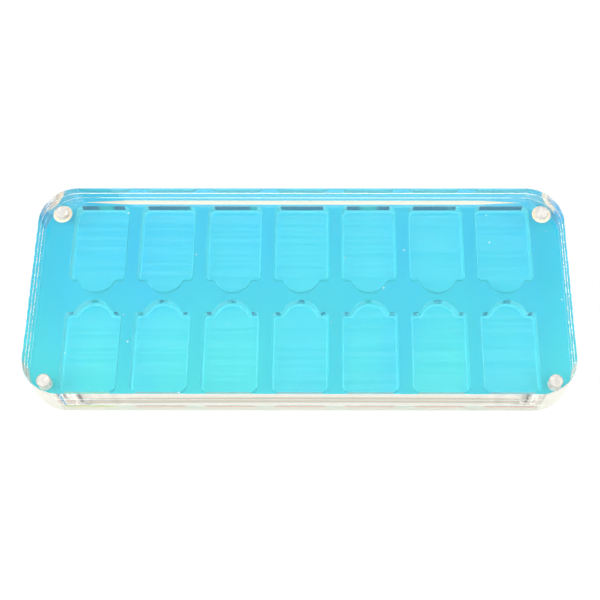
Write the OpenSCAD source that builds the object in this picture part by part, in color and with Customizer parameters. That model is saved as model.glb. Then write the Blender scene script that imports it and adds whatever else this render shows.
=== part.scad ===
// Flat palette box of clear acrylic. A thick lid, laminated from two sheets, is held down
// by four pairs of corner magnets on a tray with two rows of milled paint wells. A colour
// film covers the underside of the tray and shows through the clear sheets.
// Millimetres. The origin is the middle of the underside, +Z is up and -Y is the front.

/* [Outline] */
// Width of the closed box, left to right
palette_w = 206; // [205:1:260]
// Depth of the closed box, front to back
palette_d = 86; // [70:1:110]
// Radius of the four upright corners
corner_r = 14.5; // [9:0.5:16]
// Size of the small bevel along the edges of each sheet
edge_bevel = 0.15; // [0.1:0.05:0.6]

/* [Sheets] */
// Thickness of the upper sheet of the lid
cover_t = 6.75; // [4:0.05:10]
// Thickness of the lower sheet of the lid, which holds the lid magnets
core_t = 6.15; // [5.5:0.05:10]
// Thickness of the tray
tray_t = 6; // [5:0.05:10]
// Gap between the two sheets of the lid, for the glue along their edges
bond_gap = 0.05; // [0.02:0.01:0.2]
// Air gap that stays between the closed lid and the tray
lid_gap = 0.05; // [0.02:0.01:0.3]
// Thickness of the colour film
film_t = 0.1; // [0.05:0.05:0.5]
// Distance from the edge of the tray in to the edge of the film
film_inset = 0.1; // [0.1:0.1:3]

/* [Wells] */
// Wells in each row
well_columns = 7; // [3:1:7]
// Width of one well
well_w = 21.5; // [19:0.1:21.7]
// Width of the wall between two neighbours in a row
well_wall = 5.15; // [2:0.05:5.5]
// Depth of the wells below the top of the tray
well_depth = 4.2; // [1:0.05:4.5]
// Distance from the edge of the tray in to the outer end of each well
well_margin = 3.7; // [2:0.1:8]
// Width of the middle wall between the shoulders of the two rows
shoulder_gap = 13.8; // [11.5:0.1:24]
// Radius of the corners at the outer end of a well
well_corner_r = 2.75; // [1.6:0.05:5]
// Radius of the small corners at the shoulders of a well
shoulder_r = 1.5; // [0.8:0.1:2.5]

/* [Well bump] */
// How far the rounded bump reaches past the shoulders
bump_h = 5.2; // [3:0.1:6]
// Radius of the arch of the bump
bump_r = 7.4; // [6:0.1:9]
// Radius of the hollow blend between a shoulder and the bump
blend_r = 1.6; // [0.8:0.1:3]

/* [Magnets] */
// Diameter of a lid magnet
lid_magnet_d = 5; // [3:0.05:6]
// Length of a lid magnet
lid_magnet_h = 3; // [2:0.05:5]
// Diameter of a tray magnet
tray_magnet_d = 5; // [3:0.1:7]
// Length of a tray magnet
tray_magnet_h = 3; // [1:0.1:4]
// Gap between a magnet and the wall of its pocket
magnet_gap = 0.1; // [0.05:0.05:0.5]
// Thickness of the glue between a magnet and the end of its pocket
glue_t = 0.05; // [0.02:0.01:0.3]
// Distance from the side of the box in to the centre of a magnet
magnet_x_inset = 7.2; // [7:0.05:8.8]
// Distance from the front or back of the box in to the centre of a magnet
magnet_y_inset = 7.4; // [6.5:0.05:14]

/* [Hidden] */
$fn = 96;
// How far a cut runs past the face that it opens
OVERCUT = 1;

// The sheets lie on each other, counted up from the film
tray_z = film_t;
core_z = tray_z + tray_t + lid_gap;
cover_z = core_z + core_t + bond_gap;

// The film stops short of the edge of the tray all round
film_w = palette_w - 2 * film_inset;
film_d = palette_d - 2 * film_inset;
film_r = corner_r - film_inset;

// Wells stand in rows along X, with the rows mirrored about the middle
well_pitch = well_w + well_wall;
well_z = tray_z + tray_t - well_depth;
well_l = palette_d / 2 - well_margin - shoulder_gap / 2;

// The arch of the bump is a circle that reaches bump_h past the shoulders
arch_y = bump_h - bump_r;
blend_x = sqrt(pow(bump_r + blend_r, 2) - pow(blend_r - arch_y, 2));
touch = bump_r / (bump_r + blend_r);

// Both magnets of a pair share one upright axis
magnet_x = palette_w / 2 - magnet_x_inset;
magnet_y = palette_d / 2 - magnet_y_inset;
// A magnet lies this far behind the face that its pocket opens in
magnet_sink = 0.25;
lid_magnet_z = core_z + magnet_sink;
tray_magnet_z = tray_z + tray_t - magnet_sink - tray_magnet_h;
lid_pocket_h = magnet_sink + lid_magnet_h + glue_t;
tray_pocket_h = glue_t + tray_magnet_h + magnet_sink;

// A bar along X whose four long edges are bevelled
module bevelled_bar(length, width, height, bevel) {
    outline = [
        [-width / 2 + bevel, 0],
        [width / 2 - bevel, 0],
        [width / 2, bevel],
        [width / 2, height - bevel],
        [width / 2 - bevel, height],
        [-width / 2 + bevel, height],
        [-width / 2, height - bevel],
        [-width / 2, bevel]
    ];
    rotate([90, 0, 90])
        linear_extrude(height = length, center = true)
            polygon(outline);
}

// A round corner post whose rims are bevelled
module bevelled_post(radius, height, bevel) {
    rotate_extrude()
        polygon([
            [0, 0],
            [radius - bevel, 0],
            [radius, bevel],
            [radius, height - bevel],
            [radius - bevel, height],
            [0, height]
        ]);
}

// A rectangular sheet with round upright corners and bevelled rims
module sheet(width, depth, height, radius, bevel) {
    bevelled_bar(width - 2 * radius, depth, height, bevel);
    rotate([0, 0, 90])
        bevelled_bar(depth - 2 * radius, width, height, bevel);
    for (x = [-1, 1], y = [-1, 1])
        translate([x * (width / 2 - radius), y * (depth / 2 - radius), 0])
            bevelled_post(radius, height, bevel);
}

// The four places of the magnets
module at_magnets() {
    for (x = [-1, 1], y = [-1, 1])
        translate([x * magnet_x, y * magnet_y, 0])
            children();
}

// A well seen from above: the middle of the shoulder line is at the origin, +Y is the bump
module well_outline() {
    translate([-well_w / 2, -well_l + well_corner_r])
        square([well_w, well_l - well_corner_r - shoulder_r]);
    translate([-well_w / 2 + well_corner_r, -well_l])
        square([well_w - 2 * well_corner_r, well_l / 2]);
    translate([-well_w / 2 + shoulder_r, -well_l / 2])
        square([well_w - 2 * shoulder_r, well_l / 2]);
    for (side = [-1, 1]) {
        translate([side * (well_w / 2 - well_corner_r), -well_l + well_corner_r])
            circle(r = well_corner_r);
        translate([side * (well_w / 2 - shoulder_r), -shoulder_r])
            circle(r = shoulder_r);
    }
    bump_outline();
}

// The arch of a well and the hollow blends at its two feet
module bump_outline() {
    translate([0, arch_y])
        circle(r = bump_r);
    for (side = [-1, 1])
        difference() {
            polygon([
                [0, 0],
                [side * blend_x, 0],
                [side * blend_x, blend_r],
                [side * touch * blend_x, arch_y + touch * (blend_r - arch_y)]
            ]);
            translate([side * blend_x, blend_r])
                circle(r = blend_r);
        }
}

// Both rows of wells, as the space that the cutter clears
module wells() {
    for (row = [-1, 1], column = [0 : well_columns - 1])
        translate([(column - (well_columns - 1) / 2) * well_pitch, row * shoulder_gap / 2, well_z])
            rotate([0, 0, row > 0 ? 180 : 0])
                linear_extrude(height = well_depth + OVERCUT)
                    well_outline();
}

// The clear sheet that forms the top of the lid
module cover_sheet() {
    color([0.85, 0.95, 1.0, 0.35])
        translate([0, 0, cover_z])
            sheet(palette_w, palette_d, cover_t, corner_r, edge_bevel);
}

// The clear sheet under the cover, with a pocket from below for each lid magnet
module core_sheet() {
    color([0.75, 0.92, 1.0, 0.35])
        difference() {
            translate([0, 0, core_z])
                sheet(palette_w, palette_d, core_t, corner_r, edge_bevel);
            at_magnets()
                translate([0, 0, core_z - OVERCUT])
                    cylinder(d = lid_magnet_d + 2 * magnet_gap, h = OVERCUT + lid_pocket_h);
        }
}

// The clear base with its wells, and a pocket from above for each tray magnet
module well_tray() {
    color([0.45, 0.88, 0.97, 0.6])
        difference() {
            translate([0, 0, tray_z])
                sheet(palette_w, palette_d, tray_t, corner_r, edge_bevel);
            wells();
            at_magnets()
                translate([0, 0, tray_magnet_z - glue_t])
                    cylinder(d = tray_magnet_d + 2 * magnet_gap, h = tray_pocket_h + OVERCUT);
        }
}

// The thin colour film on the underside of the tray
module colour_film() {
    color([0.25, 0.80, 0.93])
        linear_extrude(height = film_t)
            rounded_plan(film_w, film_d, film_r);
}

// A rectangle with round corners
module rounded_plan(width, depth, radius) {
    square([width - 2 * radius, depth], center = true);
    square([width, depth - 2 * radius], center = true);
    for (x = [-1, 1], y = [-1, 1])
        translate([x * (width / 2 - radius), y * (depth / 2 - radius)])
            circle(r = radius);
}

// A lid magnet, glued by its upper face to the roof of its pocket
module lid_magnet(x, y) {
    color([0.88, 0.86, 0.82])
        translate([x * magnet_x, y * magnet_y, lid_magnet_z])
            cylinder(d = lid_magnet_d, h = lid_magnet_h);
}

// A tray magnet, glued to the floor of its pocket
module tray_magnet(x, y) {
    color([0.80, 0.78, 0.74])
        translate([x * magnet_x, y * magnet_y, tray_magnet_z])
            cylinder(d = tray_magnet_d, h = tray_magnet_h);
}

cover_sheet();
core_sheet();
well_tray();
colour_film();
lid_magnet(-1, -1);  // lid_magnet_front_left
lid_magnet(1, -1);  // lid_magnet_front_right
lid_magnet(-1, 1);  // lid_magnet_back_left
lid_magnet(1, 1);  // lid_magnet_back_right
tray_magnet(-1, -1);  // tray_magnet_front_left
tray_magnet(1, -1);  // tray_magnet_front_right
tray_magnet(-1, 1);  // tray_magnet_back_left
tray_magnet(1, 1);  // tray_magnet_back_right
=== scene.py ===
# %% [markdown]
# # Dressing a wet palette in Blender
#
# The palette is a flat box of clear acrylic sheets. A thick tray has fourteen milled wells, a
# lid of two glued sheets lies on it, small disc magnets in the corners hold the two together,
# and a film with a blue and turquoise shimmer is bonded under the tray. Its solids come from
# the CAD frame. This lesson gives them their finishes, and makes new pieces where a plain solid
# would show.

# %% Load the CAD frame
import math

import bpy
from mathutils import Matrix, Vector


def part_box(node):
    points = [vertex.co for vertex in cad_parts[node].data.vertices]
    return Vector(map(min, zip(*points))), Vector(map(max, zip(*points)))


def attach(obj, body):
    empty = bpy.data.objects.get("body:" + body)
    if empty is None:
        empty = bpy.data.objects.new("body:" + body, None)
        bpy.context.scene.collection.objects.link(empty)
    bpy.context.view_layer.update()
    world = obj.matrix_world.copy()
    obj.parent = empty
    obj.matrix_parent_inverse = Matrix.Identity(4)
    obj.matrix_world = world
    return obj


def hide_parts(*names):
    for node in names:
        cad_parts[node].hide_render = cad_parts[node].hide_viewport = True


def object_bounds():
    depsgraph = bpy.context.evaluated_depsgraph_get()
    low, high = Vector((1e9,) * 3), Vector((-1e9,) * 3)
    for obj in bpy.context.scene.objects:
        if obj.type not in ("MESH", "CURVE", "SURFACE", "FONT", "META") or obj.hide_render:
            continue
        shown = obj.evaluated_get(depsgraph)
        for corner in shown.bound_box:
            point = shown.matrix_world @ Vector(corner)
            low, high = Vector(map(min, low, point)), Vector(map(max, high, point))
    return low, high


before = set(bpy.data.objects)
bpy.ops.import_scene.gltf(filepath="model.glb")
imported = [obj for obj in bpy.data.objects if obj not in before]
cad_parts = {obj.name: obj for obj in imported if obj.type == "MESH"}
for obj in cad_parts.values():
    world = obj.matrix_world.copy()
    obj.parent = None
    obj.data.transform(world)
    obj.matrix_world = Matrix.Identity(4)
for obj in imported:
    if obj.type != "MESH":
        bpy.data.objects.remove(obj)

cad_low, cad_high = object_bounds()
print("CAD box in mm:", [round(1000 * v, 2) for v in (*cad_low, *cad_high)])

# %% [markdown]
# ## Small tools
#
# Every later step needs the same few things: millimetres, colours as a paint chart gives them,
# and an empty selection. Blender's operators act on whatever is selected, and the frame arrives
# with all its parts selected, so each step begins by clearing that.

# %% Lengths, colours and selection
MM = 0.001
WHITE = (1.0, 1.0, 1.0, 1.0)


def chart(red, green, blue):
    """A colour given as 0 to 255 on a screen, turned into the light values that shaders use."""
    lit = []
    for level in (red / 255, green / 255, blue / 255):
        lit.append(level / 12.92 if level <= 0.04045 else ((level + 0.055) / 1.055) ** 2.4)
    return (*lit, 1.0)


def clear_selection():
    """Leaves edit mode and deselects every object."""
    if bpy.context.object and bpy.context.object.mode != "OBJECT":
        bpy.ops.object.mode_set(mode="OBJECT")
    bpy.ops.object.select_all(action="DESELECT")


print("one sheet blue:", [round(v, 3) for v in chart(80, 213, 233)])

# %% [markdown]
# ## The camera
#
# The palette is looked at from above its front edge, a little from the right. A long lens keeps
# its sides nearly parallel. The small lens shift slides the picture sideways without turning
# the camera, which would make the far edge slope.

# %% Place the camera
SENSOR_WIDTH = 36.0
FOCAL_LENGTH = 66.8873
LENS_SHIFT = (-0.0472685, -0.0000444)
STAND = (0.0125968, -0.1763230, 0.4055661)
TURN = (0.4162879, 0.0036390, 0.0025765)

lens = bpy.data.cameras.new("camera")
lens.sensor_width = SENSOR_WIDTH
lens.lens = FOCAL_LENGTH
lens.shift_x, lens.shift_y = LENS_SHIFT
camera = bpy.data.objects.new("camera", lens)
camera.location = STAND
camera.rotation_euler = TURN
bpy.context.scene.collection.objects.link(camera)
bpy.context.scene.camera = camera
print("camera height in mm:", round(camera.location.z / MM, 1))

# %% [markdown]
# ## Shader maths that reads like Python
#
# A material is a graph of nodes, and a sum of two masks is a Math node between two links.
# Written out, that hides the idea. The class Level below wraps one socket and overloads the
# signs, so 1 - mask adds the node by itself. The class Finish owns a material's nodes, and
# makes every other kind of node.

# %% A wrapper for numbers in a material
class Level:
    """One number that varies over a surface. Signs such as + and * add Math nodes."""

    def __init__(self, finish, socket):
        self.finish = finish
        self.socket = socket

    def _sum(self, operation, *values):
        return self.finish.level("Math", 0, {"operation": operation}, dict(enumerate(values)))

    def __add__(self, other):
        return self._sum("ADD", self, other)

    def __radd__(self, other):
        return self._sum("ADD", other, self)

    def __sub__(self, other):
        return self._sum("SUBTRACT", self, other)

    def __rsub__(self, other):
        return self._sum("SUBTRACT", other, self)

    def __mul__(self, other):
        return self._sum("MULTIPLY", self, other)

    def __rmul__(self, other):
        return self._sum("MULTIPLY", other, self)

    def __truediv__(self, other):
        return self._sum("DIVIDE", self, other)

    def __abs__(self):
        return self._sum("ABSOLUTE", self)

    def larger(self, other):
        return self._sum("MAXIMUM", self, other)

    def smaller(self, other):
        return self._sum("MINIMUM", self, other)

    def from_nearest(self, spacing):
        """How far it is to the nearest of many lines that lie that far apart, with one at 0."""
        return self._sum("PINGPONG", self, spacing / 2)

    def rise(self, start, end):
        """0 before start, 1 after end, with a soft slope. It falls where start is the larger."""
        settings = {"interpolation_type": "SMOOTHSTEP"}
        sockets = {"Value": self, "From Min": min(start, end), "From Max": max(start, end)}
        slope = self.finish.level("MapRange", "Result", settings, sockets)
        return 1.0 - slope if start > end else slope

    def band(self, start, full, fades, gone):
        """0 before start, 1 from full until it fades, and 0 again once it is gone."""
        return self.rise(start, full) * self.rise(gone, fades)


# %% A wrapper for a material's nodes
class Finish:
    """A material, or the world, as a graph of nodes."""

    def __init__(self, owner):
        owner.use_nodes = True
        self.owner = owner
        self.tree = owner.node_tree
        self.tree.nodes.clear()

    def add(self, kind, settings=None, sockets=None):
        """Adds one node: its settings first, then the value or the link of each socket."""
        node = self.tree.nodes.new("ShaderNode" + kind)
        for key, value in (settings or {}).items():
            setattr(node, key, value)
        for key, value in (sockets or {}).items():
            self.feed(node.inputs[key], value)
        return node

    def feed(self, socket, value):
        """Links a socket to another node's output, or writes a plain value into it."""
        source = value.socket if isinstance(value, Level) else value
        if isinstance(source, bpy.types.NodeSocket):
            self.tree.links.new(source, socket)
        else:
            socket.default_value = source

    def level(self, kind, output, settings=None, sockets=None):
        """Adds a node and wraps one of its outputs as a number."""
        return Level(self, self.add(kind, settings, sockets).outputs[output])

    def blend(self, amount, first, second):
        """Mixes two colours."""
        settings = {"data_type": "RGBA", "blend_type": "MIX", "clamp_factor": True}
        return self.add("Mix", settings, {0: amount, 6: first, 7: second}).outputs[2]

    def on_piece(self):
        """Where a point lies on the piece, in metres, as a vector."""
        return self.add("TexCoord").outputs["Object"]

    def _split(self, vector):
        node = self.add("SeparateXYZ", None, {0: vector})
        return [Level(self, socket) for socket in node.outputs]

    def place(self):
        """Where a point lies on the piece, in metres, as three numbers."""
        return self._split(self.on_piece())

    def facing(self):
        """Which way the surface points on the piece, as three numbers."""
        return self._split(self.add("TexCoord").outputs["Normal"])

    def stretched(self, x, y, z):
        """The place with each axis scaled, for a pattern that runs one way."""
        sockets = {"Vector": self.on_piece(), "Scale": (x, y, z)}
        return self.add("Mapping", None, sockets).outputs[0]

    def noise(self, scale, detail=2.0, vector=None):
        """A cloudy pattern between 0 and 1, on the place itself or on a stretched copy of it."""
        sockets = {"Vector": vector or self.on_piece(), "Scale": scale, "Detail": detail}
        return self.level("TexNoise", 0, None, sockets)

    def shader(self, **sockets):
        """The Principled shader, with its sockets named in Python's way."""
        named = {key.replace("_", " "): value for key, value in sockets.items()}
        return self.add("BsdfPrincipled", None, named).outputs[0]

    def bump(self, height, strength, distance):
        """A relief too fine to model."""
        sockets = {"Height": height, "Strength": strength, "Distance": distance}
        return self.add("Bump", None, sockets).outputs[0]

    def mix(self, amount, first, second):
        """Mixes two shaders."""
        return self.add("MixShader", None, {0: amount, 1: first, 2: second}).outputs[0]

    def end(self, shader, output="OutputMaterial"):
        """Feeds the finished shader to the output, and gives back the material or the world."""
        self.feed(self.add(output).inputs["Surface"], shader)
        self.tell("finished")
        return self.owner

    def tell(self, step):
        """Prints how many nodes there are so far."""
        print(f"{self.owner.name}, {step}:", len(self.tree.nodes), "nodes")


def material(name):
    """Starts a new material."""
    return Finish(bpy.data.materials.new(name))


def dress(piece, finish):
    """Puts one material on a piece."""
    piece.data.materials.clear()
    piece.data.materials.append(finish)


# %% [markdown]
# ## The world around the palette
#
# Clear acrylic shows what stands around it, so the world matters as much as the lamps. A studio
# for small goods is white around the table and duller overhead. The Light Path node lets the
# world be plain white to the camera alone, so that the background stays clean while the acrylic
# still sees a warm grey ceiling.

# %% Build the world
CEILING = chart(214, 212, 200)
CEILING_STARTS = 0.55
CEILING_FULL = 0.8
WORLD_LIGHT = 0.9

world = bpy.data.worlds.new("soft studio")
bpy.context.scene.world = world
sky = Finish(world)
direction = sky.add("TexCoord").outputs["Generated"]
height = sky.level("SeparateXYZ", 2, None, {0: direction})
surroundings = sky.blend(height.rise(CEILING_STARTS, CEILING_FULL), WHITE, CEILING)
around = sky.add("Background", None, {"Color": surroundings, "Strength": WORLD_LIGHT}).outputs[0]
clean = sky.add("Background", None, {"Color": WHITE, "Strength": 1.0}).outputs[0]
sky.end(sky.mix(sky.level("LightPath", "Is Camera Ray"), around, clean), "OutputWorld")

# %% [markdown]
# ## Soft lamps
#
# Two large soft lamps stand left and right, high enough to light the wells' floors. A third,
# weaker one fills from the front. They give light but no reflections, because three white discs
# would lie on the lid like glare when it is seen from low down, and the white world already
# gives the acrylic something to mirror.

# %% Hang the lamps
SIDE_WATTS = 5.2
FRONT_WATTS = 2.35


def soft_lamp(name, place, size, watts):
    """Hangs a round area lamp that points at the palette."""
    lamp = bpy.data.lights.new(name, "AREA")
    lamp.shape = "DISK"
    lamp.size = size
    lamp.energy = watts
    holder = bpy.data.objects.new(name, lamp)
    holder.location = place
    holder.visible_glossy = False
    holder.rotation_mode = "QUATERNION"
    holder.rotation_quaternion = (-Vector(place)).to_track_quat("-Z", "Y")
    bpy.context.scene.collection.objects.link(holder)
    print(name, "stands", round(Vector(place).length, 2), "m away")


soft_lamp("left lamp", (-0.75, -0.1, 0.75), 1.1, SIDE_WATTS)
soft_lamp("right lamp", (0.75, -0.1, 0.75), 1.1, SIDE_WATTS)
soft_lamp("front lamp", (0.0, -0.75, 0.75), 0.9, FRONT_WATTS)

# %% [markdown]
# ## The floor
#
# The palette stands on a plain pale floor. To the camera and through the acrylic the floor is
# nearly all plain white, and a small part of it is an ordinary matt surface, which keeps the
# palette's soft shadow.

# %% Lay the floor
FLOOR_SIZE = 8.0
FLOOR_DROP = 0.05 * MM
SHADOW_SHARE = 0.12
FLOOR_PALE = (0.9, 0.9, 0.9, 1.0)
FLOOR_GRAIN = (0.8, 0.8, 0.8, 1.0)

clear_selection()
bpy.ops.mesh.primitive_plane_add(size=FLOOR_SIZE, location=(0, 0, -FLOOR_DROP))
floor = bpy.context.object
floor.name = "floor"
table = material("pale floor")
seen = table.level("LightPath", "Is Camera Ray")
for ray in ("Is Glossy Ray", "Is Transmission Ray"):
    seen = seen.larger(table.level("LightPath", ray))
grain = table.blend(table.noise(40.0, 4.0) * 0.01, FLOOR_PALE, FLOOR_GRAIN)
matt = table.add("BsdfDiffuse", None, {"Color": grain}).outputs[0]
bright = table.add("Emission", None, {"Color": WHITE, "Strength": 1.0}).outputs[0]
dress(floor, table.end(table.mix(seen * (1.0 - SHADOW_SHARE), matt, bright)))

# %% [markdown]
# ## How light passes clear acrylic
#
# Light that enters the edge of a sheet is thrown from face to face many times before it leaves
# at the other side. Blender ends such a path after a few bounces and leaves the edge dark, so
# the limits go up. They cost little, because only the edges need them.

# %% Raise the limits on bounces
BOUNCES = 64

cycles = bpy.context.scene.cycles
cycles.max_bounces = BOUNCES
cycles.transmission_bounces = BOUNCES
cycles.glossy_bounces = BOUNCES
cycles.transparent_max_bounces = BOUNCES // 2
bpy.context.scene.view_settings.view_transform = "Standard"
print("bounces:", cycles.max_bounces)

# %% [markdown]
# ## Clear acrylic
#
# The sheets are cast acrylic, which bends light by an index of 1.49 and has a breath of blue.
# Its edges look warmer, because light comes a long way through the sheet before it leaves
# there. A glass shader casts a black shadow, because a lamp's light isn't followed through it,
# so the shader steps aside for shadow rays and lets a slightly tinted light through.

# %% Clear acrylic and the ways it is met
ACRYLIC_IOR = 1.49
LID_TINT = (0.985, 0.995, 0.995, 1.0)
SHADOW_TINT = (0.97, 0.985, 0.985, 1.0)
POLISH = 0.002
GLOSS = 0.12
UPRIGHT_TILT = (0.5, 0.2)
LEVEL_TILT = (0.5, 0.8)
CORNER_REACH = (131.5 * MM, 134.0 * MM)  # x and y added up


def acrylic(finish, tint, roughness, relief):
    """Clear acrylic with a tint, a polish and a fine relief."""
    return finish.shader(
        Base_Color=tint, Roughness=roughness, IOR=ACRYLIC_IOR,
        Transmission_Weight=1.0, Specular_IOR_Level=GLOSS, Normal=relief)


def let_lamps_through(finish, shader):
    """Lamp light crosses the acrylic in a straight line."""
    clear = finish.add("BsdfTransparent", None, {"Color": SHADOW_TINT}).outputs[0]
    return finish.mix(finish.level("LightPath", "Is Shadow Ray"), shader, clear)


def slant(finish):
    """0 where a surface is met squarely, and towards 1 at a low angle, for gloss and sheen."""
    return finish.level("LayerWeight", "Facing", None, {"Blend": 0.5})


def upright(normal):
    """1 on upright faces and 0 on level ones."""
    return abs(normal[2]).rise(*UPRIGHT_TILT)


def corner_zone(x, y):
    """1 round the four upright corners, and 0 along the straight edges."""
    return (abs(x) + abs(y)).rise(*CORNER_REACH)


steepest = math.degrees(math.asin(1 / ACRYLIC_IOR))
print("rays from above run within", round(steepest, 1), "degrees of upright inside the acrylic")

# %% [markdown]
# ## Worked edges
#
# A router cuts the round corners and leaves them frosted, while the straight edges are
# polished. The frosted corners get painted reflections: the film's blue at the back, but for
# one painted cream patch on the right in the lid's lower sheet, and a warm grey in front. Where
# two sheets meet, the bevels have small white chips at the sides, and in front and at the back
# an even white band, which is a painted highlight. Both marks are masks from the place on the
# piece and the way the face points, so one function serves the lid and the tray.

# %% Frosted corners with painted reflections
REFLECTED_DEEP_BLUE = (0.10, 0.52, 0.90, 1.0)
REFLECTED_BLUE = (0.22, 0.60, 0.92, 1.0)
REFLECTED_WARM_GREY = (0.74, 0.73, 0.67, 1.0)
REFLECTED_CREAM = (1.0, 0.96, 0.90, 1.0)
FROST_SHARE = 0.85
FROST_ANGLE = (0.64, 0.73)
REFLECTION_CLOUDS = 150.0
REFLECTION_TURNS_BLUE = (-30.0 * MM, -20.0 * MM)
PATCH_SOFT = 1.0 * MM
PATCH_ENDS = (66.0 * MM, 63.0 * MM)  # x less y


def frosted_corners_with_reflections(finish, clear):
    """Round corners that the router has frosted, which shows at a low angle, with painted
    reflections.
    """
    x, y, z = finish.place()
    frosted = upright(finish.facing()) * corner_zone(x, y) * FROST_SHARE
    frosted = frosted * slant(finish).rise(*FROST_ANGLE)
    # Painted reflections: the film's blue in clouds at the back, and a warm grey in front.
    blue = finish.blend(finish.noise(REFLECTION_CLOUDS).rise(0.4, 0.6), REFLECTED_DEEP_BLUE, REFLECTED_BLUE)
    colour = finish.blend(y.rise(*REFLECTION_TURNS_BLUE), REFLECTED_WARM_GREY, blue)
    # A painted cream reflection in the right back corner of the lid's lower sheet.
    low, high = (corner.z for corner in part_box("core_sheet"))
    cream_reflection = z.band(low, low + 0.2 * MM, high - 0.2 * MM, high)
    cream_reflection = cream_reflection * x.rise(0.0, PATCH_SOFT) * y.rise(0.0, PATCH_SOFT)
    cream_reflection = cream_reflection * (x - y).rise(*PATCH_ENDS)
    colour = finish.blend(cream_reflection, colour, REFLECTED_CREAM)
    matt = finish.shader(Base_Color=colour, Roughness=0.9, Specular_IOR_Level=0.0)
    return finish.mix(frosted, clear, matt)


print("frost starts where x and y add up to", round(CORNER_REACH[0] / MM, 1), "mm")

# %% Chipped joints and a painted highlight
CHIP_AND_HIGHLIGHT_WHITE = (1.0, 0.97, 0.91, 1.0)
RIM_STARTS = 0.8 * MM
RIM_FULL = 0.5 * MM
LID_JOINT = (11.5 * MM, 11.9 * MM, 13.5 * MM, 14.0 * MM)  # in height
FRONT_CORNERS = (-28.0 * MM, -30.0 * MM)
BEVEL_TILT = (0.3, 0.6, 0.85, 0.97)
CHIP_GRAIN = 420.0
CHIP_EDGE = (0.48, 0.56)
HIGHLIGHT_SHARE = 0.7


def chipped_joints_and_highlight(finish, body):
    """White on the bevels: chips at the sides, and an even painted highlight in front and at the
    back.
    """
    x, y, z = finish.place()
    bevel = abs(finish.facing()[2]).band(*BEVEL_TILT)
    sides = abs(x).rise(cad_high.x - RIM_STARTS, cad_high.x - RIM_FULL)
    back = y.rise(cad_high.y - RIM_STARTS, cad_high.y - RIM_FULL) * z.band(*LID_JOINT)
    front = y.rise(cad_low.y + RIM_STARTS, cad_low.y + RIM_FULL)
    front = front.larger(corner_zone(x, y) * y.rise(*FRONT_CORNERS))
    front = front * z.rise(LID_JOINT[3], LID_JOINT[2])
    chips = finish.noise(CHIP_GRAIN, 3.0).rise(*CHIP_EDGE)
    # The even white in front and at the back is a painted highlight line; the broken white at
    # the sides is chips.
    chips_and_highlight = (sides * chips).larger(back * HIGHLIGHT_SHARE).larger(front * HIGHLIGHT_SHARE)
    white = finish.shader(Base_Color=CHIP_AND_HIGHLIGHT_WHITE, Roughness=0.9, Specular_IOR_Level=0.0)
    return finish.mix(bevel * chips_and_highlight, body, white)


def worked_edges(finish, clear):
    """Acrylic with frosted corners and chipped joints, and the painted reflections and highlight
    on them.
    """
    return chipped_joints_and_highlight(finish, frosted_corners_with_reflections(finish, clear))


print("chips lie along the lid's joint from", round(LID_JOINT[0] / MM, 1), "mm up")

# %% [markdown]
# ## Magnets behind glue
#
# The magnets sit in pockets and are wetted by glue. Through the acrylic their sides look
# brighter and more uneven than bare metal does, and that look is painted on the wall of each
# pocket as streaks of bright, copper and dark reflection. On top of the tray, round the back
# magnets, a pale ring is a painted reflection, which comes with the tray's own material.

# %% Sides of the pockets
METAL_BRIGHT_REFLECTION = REFLECTED_CREAM
METAL_COPPER_REFLECTION = (0.80, 0.62, 0.56, 1.0)
METAL_DARK_REFLECTION = (0.42, 0.40, 0.42, 1.0)
METAL_GRAIN = (900.0, 900.0, 260.0)
GLUE_EDGE = 0.1 * MM


def near_magnets(finish, node, reach):
    """1 within reach of the axis of the magnets of one kind, which stand in all four corners."""
    low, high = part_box(node)
    middle = (low + high) / 2
    x, y = finish.place()[:2]
    across = abs(x) - abs(middle.x)
    along = abs(y) - abs(middle.y)
    return (across * across + along * along).rise(reach ** 2, (reach - GLUE_EDGE) ** 2)


def painted_metal_side(finish):
    """The side of a magnet, painted on the wall of its pocket, with streaks of painted
    reflection.
    """
    streaks = finish.noise(1.0, 2.0, finish.stretched(*METAL_GRAIN))
    # Painted reflections: bright, copper and dark streaks on the magnet's side.
    colour = finish.blend(streaks.rise(0.45, 0.6), METAL_BRIGHT_REFLECTION, METAL_COPPER_REFLECTION)
    colour = finish.blend(streaks.rise(0.36, 0.30), colour, METAL_DARK_REFLECTION)
    return finish.shader(Base_Color=colour, Roughness=0.35)


seat_low, seat_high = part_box("lid_magnet_front_left")
print("a magnet is", round((seat_high.x - seat_low.x) / MM, 2), "mm across")

# %% [markdown]
# ## The lid
#
# Both sheets of the lid share one material. Its marks of use are hairline scratches and a
# little dust on the level faces, and saw lines on the upright ones. A glued joint hardly shows
# from above, because the glue bends light as the acrylic does, so the faces at the joint are
# made transparent where they are met squarely. At a low angle they keep the thin bright line
# that a joint has.

# %% Clear body of the lid
EDGE_TINT = (0.93, 0.89, 0.79, 1.0)
EDGE_BLUR = 0.005
SAW_BLUR = 0.01
CORNER_BLUR = 0.12
SAW_GRAIN = (20.0, 20.0, 900.0)
HAIRLINE_GRAIN = (900.0, 60.0, 900.0)
HAIRLINE_DEPTH = 0.01 * MM

finish = material("clear cast acrylic")
x, y, z = finish.place()
normal = finish.facing()
edge = upright(normal)
tint = finish.blend(edge, LID_TINT, EDGE_TINT)
saw = finish.noise(1.0, 3.0, finish.stretched(*SAW_GRAIN))
blur = edge * (saw * SAW_BLUR + corner_zone(x, y) * CORNER_BLUR + EDGE_BLUR) + POLISH
hairlines = finish.noise(1.0, 6.0, finish.stretched(*HAIRLINE_GRAIN)).rise(0.68, 0.75)
scratches = finish.bump(hairlines * (1.0 - edge), 0.05, HAIRLINE_DEPTH)
body = worked_edges(finish, acrylic(finish, tint, blur, scratches))
finish.tell("clear body")

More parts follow.
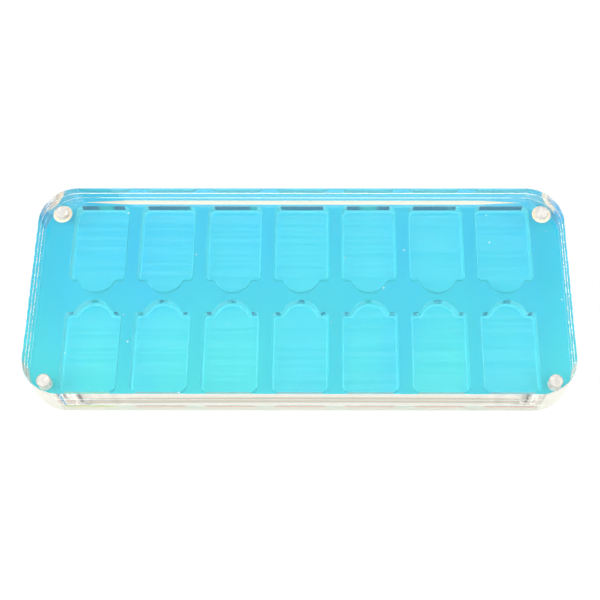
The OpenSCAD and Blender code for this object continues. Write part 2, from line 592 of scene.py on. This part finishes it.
# %% Painted magnet sides, glue and dust of the lid
LID_POCKET = 2.9 * MM
DUST_SPACING = 20.0 * MM
DUST_SIZE = 0.34 * MM
DUST_COLOUR = (0.95, 0.95, 0.93, 1.0)
DUST_CHOICE = (0.55, 0.57)
SMALLEST_SPECK = 0.4
SPECK_CORE = 0.6
JOINT_REACH = (0.06 * MM, 0.05 * MM)
JOINT_TILT = (0.97, 0.99)
JOINT_ANGLE = (0.28, 0.16)


def dust(finish):
    """A mask of small round specks, one in some of the cells of a flat random pattern."""
    sockets = {"Vector": finish.on_piece(), "Scale": 1.0 / DUST_SPACING, "Randomness": 1.0}
    cells = finish.add("TexVoronoi", {"feature": "F1", "voronoi_dimensions": "2D"}, sockets)
    drawn = finish.add("SeparateColor", None, {0: cells.outputs["Color"]})
    chosen = Level(finish, drawn.outputs[0]).rise(*DUST_CHOICE)
    radius = Level(finish, drawn.outputs[1]) * (1.0 - SMALLEST_SPECK) + SMALLEST_SPECK
    size = DUST_SIZE / DUST_SPACING
    speck = (Level(finish, cells.outputs["Distance"]) / radius).rise(size, SPECK_CORE * size)
    return speck * chosen


# The pockets' walls carry the magnets' sides, with painted reflections.
pocket = near_magnets(finish, "lid_magnet_front_left", LID_POCKET) * edge
body = finish.mix(pocket, body, painted_metal_side(finish))
joint = (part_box("core_sheet")[1].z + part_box("cover_sheet")[0].z) / 2
glued = abs(z - joint).rise(*JOINT_REACH) * abs(normal[2]).rise(*JOINT_TILT)
glued = glued * slant(finish).rise(*JOINT_ANGLE)
body = finish.mix(glued, body, finish.add("BsdfTransparent").outputs[0])
speck = finish.shader(Base_Color=DUST_COLOUR, Roughness=0.9)
on_top = z.rise(cad_high.z - 0.2 * MM, cad_high.z - 0.1 * MM)
body = finish.mix(dust(finish) * on_top, body, speck)
lid_finish = finish.end(let_lamps_through(finish, body))
for node in ("cover_sheet", "core_sheet"):
    dress(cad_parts[node], lid_finish)

# %% [markdown]
# ## The milled tray
#
# The tray is the same acrylic, milled. A cutter with a rounded tip leaves a soft fillet round
# each floor, and the rim of each well is broken by hand so that it doesn't chip. The CAD solid
# has sharp edges there, so a copy of its mesh is merged and cleaned, and those edges are
# bevelled. The solid's lower rim has a small bevel, which is moved out square again, because
# the film is bonded there with its edge flush. The copy stands for the tray in the picture, and
# the solid stays behind it for the physics.

# %% Copy the tray
TRAY_CORNER = 14.5 * MM
WELL_DEPTH = 4.2 * MM
SAME_POINT = 0.001 * MM
SAME_HEIGHT = 0.01 * MM
tray_low, tray_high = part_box("well_tray")
floor_z = tray_high.z - WELL_DEPTH


def take_up(piece):
    """Selects one piece alone and makes it the active one."""
    clear_selection()
    piece.select_set(True)
    bpy.context.view_layer.objects.active = piece


def measure(piece):
    """Prints the size of a piece in millimetres and how many faces it has."""
    corners = [vertex.co for vertex in piece.data.vertices]
    size = [max(c[i] for c in corners) - min(c[i] for c in corners) for i in range(3)]
    print(piece.name, [round(s / MM, 2) for s in size], "mm,", len(piece.data.polygons), "faces")


tray = bpy.data.objects.new("milled_tray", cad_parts["well_tray"].data.copy())
bpy.context.scene.collection.objects.link(tray)
take_up(tray)
bpy.ops.object.mode_set(mode="EDIT")
bpy.ops.mesh.select_all(action="SELECT")
bpy.ops.mesh.remove_doubles(threshold=SAME_POINT)
bpy.ops.mesh.dissolve_limited(angle_limit=math.radians(0.5))
bpy.ops.mesh.customdata_custom_splitnormals_clear()
bpy.ops.object.mode_set(mode="OBJECT")
measure(tray)

# %% Square the lower rim
RIM_WIDTH = 1.0 * MM
half_length = (tray_high.x - tray_low.x) / 2 - TRAY_CORNER
half_depth = (tray_high.y - tray_low.y) / 2 - TRAY_CORNER
moved = 0
for vertex in tray.data.vertices:
    spot = vertex.co
    across = max(-half_length, min(half_length, spot.x))
    along = max(-half_depth, min(half_depth, spot.y))
    away = Vector((spot.x - across, spot.y - along, 0))
    if spot.z < tray_low.z + SAME_HEIGHT and away.length > TRAY_CORNER - RIM_WIDTH:
        away.normalize()
        spot.x = across + TRAY_CORNER * away.x
        spot.y = along + TRAY_CORNER * away.y
        moved += 1
print(moved, "points moved out to the outline, where the film's edge is flush")

# %% Soften the wells
FILLET = 1.1 * MM
FILLET_STEPS = 5
BROKEN_RIM = 0.15 * MM
BROKEN_STEPS = 2
WELLS_LIMIT_X = 91.5 * MM
WELLS_LIMIT_Y = 39.5 * MM


def pick(piece, kind, wanted):
    """Opens a piece for editing with only the edges, or faces, selected that pass a test."""
    take_up(piece)
    bpy.ops.object.mode_set(mode="EDIT")
    bpy.ops.mesh.select_mode(type=kind)
    bpy.ops.mesh.select_all(action="DESELECT")
    bpy.ops.object.mode_set(mode="OBJECT")
    parts = piece.data.edges if kind == "EDGE" else piece.data.polygons
    for part in parts:
        part.select = wanted(part, [piece.data.vertices[i].co for i in part.vertices])
    print(sum(part.select for part in parts), "parts of", piece.name, "picked")
    bpy.ops.object.mode_set(mode="EDIT")


def bevel_level(piece, z, width, steps):
    """Bevels the edges of the wells that lie at one height."""
    def on_well(edge, ends):
        return all(
            abs(end.z - z) < SAME_HEIGHT
            and abs(end.x) < WELLS_LIMIT_X and abs(end.y) < WELLS_LIMIT_Y
            for end in ends)

    pick(piece, "EDGE", on_well)
    bpy.ops.mesh.bevel(offset=width, segments=steps, affect="EDGES", clamp_overlap=False)
    bpy.ops.object.mode_set(mode="OBJECT")


bevel_level(tray, floor_z, FILLET, FILLET_STEPS)
bevel_level(tray, tray_high.z, BROKEN_RIM, BROKEN_STEPS)
bpy.ops.object.shade_smooth_by_angle(angle=math.radians(35))
even = tray.modifiers.new("flat floors", "WEIGHTED_NORMAL")
even.keep_sharp = True
bpy.ops.object.modifier_apply(modifier=even.name)
measure(tray)
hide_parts("well_tray")
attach(tray, "base")

# %% [markdown]
# ## Marks of the mill
#
# The cutter leaves the wells' floors and fillets slightly frosted, with fine lines along its
# path. The upright walls are rougher, and the film's blue that they throw back from below is
# painted on them as a reflection. Painted shade makes it deepest at the back of each well and at
# its shoulders. The front walls get a painted pearly reflection instead, which shows through the
# front edge of the tray. A bare strip of the underside behind the film has a warm tint. First
# the faces are told apart by their height, their place and the way they point.

# %% Tell the tray's faces apart
TRAY_POCKET = 3.8 * MM
UPPER_END = 1.5 * MM  # a fillet stays below this depth
FILLET_TILT = (0.15, 0.5, 0.95, 0.995)
WALL_TILT = (0.85, 0.25)
INNER_CORNER = (131.4 * MM, 130.6 * MM)  # x and y added up

finish = material("milled acrylic")
x, y, z = finish.place()
normal = finish.facing()
in_wells = z.band(floor_z - 0.3 * MM, floor_z - 0.1 * MM, tray_high.z - 0.1 * MM, tray_high.z)
on_floor = in_wells * z.rise(floor_z + 0.2 * MM, floor_z + 0.1 * MM)
on_floor = on_floor * normal[2].rise(*LEVEL_TILT)
on_fillet = in_wells * z.rise(tray_high.z - UPPER_END, tray_high.z - UPPER_END - 0.1 * MM)
on_fillet = on_fillet * normal[2].band(*FILLET_TILT)
inside = abs(x).rise(100.0 * MM, 99.0 * MM) * abs(y).rise(41.5 * MM, 40.5 * MM)
inside = inside * (abs(x) + abs(y)).rise(*INNER_CORNER)
edge = upright(normal) * (1.0 - inside)
by_magnet = near_magnets(finish, "tray_magnet_front_left", TRAY_POCKET)
wall = abs(normal[2]).rise(*WALL_TILT) * in_wells * inside * (1.0 - by_magnet)
finish.tell("faces told apart")

# %% Tell the walls apart
WELLS_END = 38.0 * MM
FRONT_TURN = (-0.965, -0.99)
SHOULDERS = (-8.0 * MM, -7.6 * MM, -1.0 * MM, 0.0)
SHOULDER_GRAIN = 700.0

to_the_front = normal[1].rise(*FRONT_TURN) * wall
back_end = y.rise(WELLS_END, WELLS_END + 0.5 * MM)
# The front walls of the front row get a painted pearly glint.
front_wall_glint = to_the_front * y.rise(-WELLS_END, -WELLS_END - 0.5 * MM)
# Painted shade on the walls that face the front: at the back end of each well, and in dashes at
# its shoulders.
shoulder_dashes = finish.noise(SHOULDER_GRAIN, 2.0).rise(0.36, 0.54)
cross_wall_shade = to_the_front * back_end.larger(y.band(*SHOULDERS) * shoulder_dashes * 0.9)
finish.tell("walls told apart")

# %% Clear body of the tray
TRAY_EDGE_TINT = (0.90, 0.80, 0.69, 1.0)
BARE_TINT = (0.90, 0.84, 0.60, 1.0)
FLOOR_FROST = (0.13, 0.84, 0.95, 1.0)
FLOOR_LINES = (0.42, 0.95, 1.0, 1.0)
WALL_BLUR = 0.15
CUTTER_GRAIN = (9.0, 600.0, 9.0)
CUTTER_DEPTH = 0.02 * MM

bare = y.rise(41.0 * MM, 41.4 * MM) * z.rise(0.3 * MM, 0.2 * MM)
bare = bare * abs(normal[2]).rise(*LEVEL_TILT)
tint = finish.blend(bare, finish.blend(edge, LID_TINT, TRAY_EDGE_TINT), BARE_TINT)
blur = wall * WALL_BLUR + edge * (corner_zone(x, y) * CORNER_BLUR + EDGE_BLUR) + POLISH
lines = finish.noise(1.0, 2.0, finish.stretched(*CUTTER_GRAIN))
cutter_lines = finish.bump(lines * on_floor, 0.1, CUTTER_DEPTH)
body = worked_edges(finish, acrylic(finish, tint, blur, cutter_lines))
cloud = finish.noise(120.0, 3.0) * 0.05 + 0.03
frost = finish.shader(Base_Color=FLOOR_FROST, Roughness=0.8)
body = finish.mix(on_floor * cloud + on_fillet * 0.2, body, frost)
pale = finish.shader(Base_Color=FLOOR_LINES, Roughness=0.8)
body = finish.mix(on_floor * lines.rise(0.38, 0.62) * 0.04, body, pale)
finish.tell("clear body")

# %% Painted reflections and shade on the walls
WALL_REFLECTED_BLUE = (0.04, 0.72, 0.86, 1.0)
CROSS_SHADE_DEEP = (0.0, 0.22, 0.36, 1.0)
CROSS_SHADE_GREEN = (0.0, 0.50, 0.55, 1.0)
FRONT_ROSE_SHEEN = (0.86, 0.48, 0.42, 1.0)
FRONT_YELLOW_SHEEN = (0.78, 0.72, 0.30, 1.0)
TURNS_YELLOW = (-66.0 * MM, -68.0 * MM)
TEAL_GRAIN = (60.0, 5.0, 5.0)


def front_pearl_sheen(finish, x):
    """A painted pearly sheen towards the front: rose, and yellow at the leftmost well."""
    return finish.blend(x.rise(*TURNS_YELLOW), FRONT_ROSE_SHEEN, FRONT_YELLOW_SHEEN)


# Painted reflection of the film's blue on the walls, painted dark teal and green shade where
# they face the front, and a painted pearly glint on the front walls.
teal = finish.noise(1.0, 1.0, finish.stretched(*TEAL_GRAIN)).rise(0.55, 0.62)
cross_shade_colour = finish.blend(teal, CROSS_SHADE_DEEP, CROSS_SHADE_GREEN)
painted_wall_colour = finish.blend(cross_wall_shade, WALL_REFLECTED_BLUE, cross_shade_colour)
painted_wall_colour = finish.blend(front_wall_glint, painted_wall_colour, front_pearl_sheen(finish, x))
painted_wall_shader = finish.shader(Base_Color=painted_wall_colour, Roughness=0.7, Specular_IOR_Level=0.1)
body = finish.mix(wall * 0.85 + cross_wall_shade * 0.1 - front_wall_glint * 0.45, body, painted_wall_shader)
finish.tell("tinted walls")

# %% Painted magnet sides and a painted reflection ring of the tray
RING_REFLECTION_CREAM = (1.0, 0.84, 0.66, 1.0)

body = finish.mix(by_magnet * upright(normal), body, painted_metal_side(finish))
# A painted reflection: a pale ring round the back magnets on top of the tray.
ring_reflection = by_magnet * z.rise(tray_high.z - 0.1 * MM, tray_high.z - 0.02 * MM)
ring_reflection = ring_reflection * y.rise(0.0, 1.0 * MM)
body = finish.mix(ring_reflection, body, finish.shader(Base_Color=RING_REFLECTION_CREAM, Roughness=0.5))
dress(tray, finish.end(let_lamps_through(finish, body)))

# %% [markdown]
# ## The shimmering film
#
# The film is bonded to the tray's underside, so no air lies between them and the tray doesn't
# mirror itself there. In Blender that means that the film's upper face has to lie just inside
# the acrylic. It starts as a plane of the film's size. Its corners are bevelled into the tray's
# rounding, its back edge is pulled in a little from the tray's, and then the plane gets its
# thickness.

# %% Cut and bond the film
BOND = 0.02 * MM
TRIM = 0.04 * MM
FILM_CORNER = 14.48 * MM
CORNER_STEPS = 24
BACK_CUTS = 40
BACK_GAP = 0.9 * MM
GAP_ENDS = 88.0 * MM
GAP_SLOPE = 16.0 * MM

film_low, film_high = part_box("colour_film")
length = tray_high.x - tray_low.x - TRIM
depth = tray_high.y - tray_low.y - TRIM
thickness = film_high.z - film_low.z + BOND
at_back = depth / 2 - SAME_POINT

clear_selection()
bpy.ops.mesh.primitive_plane_add(size=1.0, location=(0, 0, film_low.z))
film = bpy.context.object
film.name = "bonded_colour_film"
bpy.ops.object.mode_set(mode="EDIT")
bpy.ops.mesh.select_all(action="SELECT")
bpy.ops.transform.resize(value=(length, depth, 1.0))
bpy.ops.mesh.bevel(offset=FILM_CORNER, segments=CORNER_STEPS, affect="VERTICES")
pick(film, "EDGE", lambda edge, ends: all(end.y > at_back for end in ends))
bpy.ops.mesh.subdivide(number_cuts=BACK_CUTS)
bpy.ops.object.mode_set(mode="OBJECT")
for point in film.data.vertices:
    if point.co.y > at_back:
        point.co.y -= BACK_GAP * min(1.0, max(0.0, (GAP_ENDS - abs(point.co.x)) / GAP_SLOPE))
measure(film)

# %% Give the film its thickness
bpy.ops.object.mode_set(mode="EDIT")
bpy.ops.mesh.select_all(action="SELECT")
bpy.ops.mesh.extrude_region_move(TRANSFORM_OT_translate={"value": (0, 0, thickness)})
bpy.ops.mesh.select_all(action="SELECT")
bpy.ops.mesh.normals_make_consistent(inside=False)
bpy.ops.object.mode_set(mode="OBJECT")
bpy.ops.object.transform_apply(location=True, rotation=True, scale=True)
measure(film)
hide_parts("colour_film")
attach(film, "base")

# %% [markdown]
# ## Colours of the film
#
# Such a film splits light in thin layers, so it looks blue and turquoise from above and pearly
# at a low angle. Its change of colour with the angle of view is painted by place: bluer towards
# the back and deeper at the sides, in broad masks on the film. The pearl is a second shader,
# mixed in by the angle as sheen is, and under the front ends of the wells, where the front edge
# shows it, it is painted rose and yellow by place.

# %% Blue and turquoise
FILM_FRONT = chart(72, 220, 226)
FILM_BACK = chart(56, 207, 236)
FILM_SIDES = chart(40, 195, 236)
FILM_MARGIN = chart(24, 195, 220)
FILM_WAVES = chart(54, 196, 246)
WAVE_GRAIN = (40.0, 12.0, 9.0)
FILM_MIDDLE = 8.0 * MM

finish = material("shimmering film")
x, y, z = finish.place()
# Painted sheen: the shift from front to back and at the sides stands for the change of colour
# with the angle of view.
back = y.rise(-40.0 * MM, 42.0 * MM)
side = abs(x - FILM_MIDDLE).rise(20.0 * MM, 105.0 * MM)
margin = abs(x).rise(88.0 * MM, 96.0 * MM) * back.smaller(0.6)
waves = finish.noise(1.0, 2.0, finish.stretched(*WAVE_GRAIN)).rise(0.35, 0.75)
colour = finish.blend(back, FILM_FRONT, FILM_BACK)
colour = finish.blend(side * back * 0.6, colour, FILM_SIDES)
colour = finish.blend(margin * 0.6, colour, FILM_MARGIN)
colour = finish.blend(waves * 0.35, colour, FILM_WAVES)
steep = finish.shader(Base_Color=colour, Roughness=0.4, Specular_IOR_Level=0.0)
finish.tell("from above")

# %% Pearl at a low angle
PEARL = chart(228, 229, 220)
WELL_PITCH = 26.65 * MM
HALF_WELL = (10.6 * MM, 8.6 * MM)
WELL_FRONTS = (-38.8 * MM, -38.0 * MM, -34.6 * MM, -33.4 * MM)
PEARL_ANGLE = (0.14, 0.34)

# Painted rose and yellow sheen under the front ends of the wells.
under_wells = y.band(*WELL_FRONTS) * x.from_nearest(WELL_PITCH).rise(*HALF_WELL)
low_colour = finish.blend(under_wells, PEARL, front_pearl_sheen(finish, x))
pearl = finish.shader(Base_Color=low_colour, Roughness=0.4, Specular_IOR_Level=0.0)
low_angle = slant(finish).rise(*PEARL_ANGLE)
dress(film, finish.end(finish.mix(low_angle, steep, pearl)))

# %% [markdown]
# ## Disc magnets
#
# The magnets are small nickel-plated discs. Plating rounds their rims a little, and that bright
# rim is what tells a magnet from a plain dot. All eight are the same disc, so one is made from
# a cylinder, with its rims bevelled and its ends slightly dished, and then copied to the other
# seven places. Each copy gets a mesh of its own, because a finished piece holds its place in
# its mesh.

# %% Turn one magnet
ROUND_STEPS = 64
RIM = 0.3 * MM
RIM_STEPS = 4
DISH = 0.04 * MM
DISH_EDGE = 0.35 * MM


def turn_disc(name, node):
    """Makes a plated disc with soft rims in the place of a CAD magnet."""
    low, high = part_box(node)
    clear_selection()
    bpy.ops.mesh.primitive_cylinder_add(
        vertices=ROUND_STEPS, radius=(high.x - low.x) / 2, depth=high.z - low.z,
        location=(low + high) / 2)
    disc = bpy.context.object
    disc.name = name
    pick(disc, "EDGE", lambda edge, ends: abs(ends[0].z - ends[1].z) < SAME_POINT)
    bpy.ops.mesh.bevel(offset=RIM, segments=RIM_STEPS, affect="EDGES")
    pick(disc, "FACE", lambda face, corners: abs(face.normal.z) > 0.99)
    bpy.ops.mesh.inset(thickness=DISH_EDGE, depth=-DISH)
    bpy.ops.object.mode_set(mode="OBJECT")
    bpy.ops.object.transform_apply(location=True, rotation=True, scale=True)
    bpy.ops.object.shade_smooth_by_angle(angle=math.radians(40))
    measure(disc)
    return disc


def copy_disc(disc, name, shift):
    """Copies a disc with a mesh of its own and moves that mesh to another pocket."""
    take_up(disc)
    bpy.ops.object.duplicate()
    twin = bpy.context.object
    twin.name = name
    bpy.ops.transform.translate(value=tuple(shift))
    bpy.ops.object.transform_apply(location=True, rotation=True, scale=True)
    return twin


first = turn_disc("lid_disc_front_left", "lid_magnet_front_left")

# %% Nickel plating
NICKEL_LIGHT = (0.91, 0.85, 0.82, 1.0)
NICKEL_DARK = (0.77, 0.72, 0.69, 1.0)
NICKEL_GRAIN = 1800.0
NICKEL_BLOTCHES = 700.0

finish = material("nickel plating")
grain = finish.noise(NICKEL_GRAIN, 3.0)
blotches = finish.noise(NICKEL_BLOTCHES, 2.0).rise(0.42, 0.58)
plated = finish.blend(blotches, NICKEL_LIGHT, NICKEL_DARK)
plating = finish.shader(Base_Color=plated, Metallic=0.3, Roughness=grain * 0.2 + 0.3)
nickel = finish.end(plating)

# %% Set the eight magnets
seats = [(body, level, f"{row}_{hand}")
         for body, level in (("lid", "lid"), ("base", "tray"))
         for row in ("front", "back")
         for hand in ("left", "right")]
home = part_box("lid_magnet_front_left")[0]
discs = [first]
for body, level, corner in seats[1:]:
    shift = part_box(f"{level}_magnet_{corner}")[0] - home
    discs.append(copy_disc(first, f"{level}_disc_{corner}", shift))
for disc, (body, level, corner) in zip(discs, seats):
    dress(disc, nickel)
    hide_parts(f"{level}_magnet_{corner}")
    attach(disc, body)
print(len(discs), "discs with", len({disc.data.name for disc in discs}), "meshes")
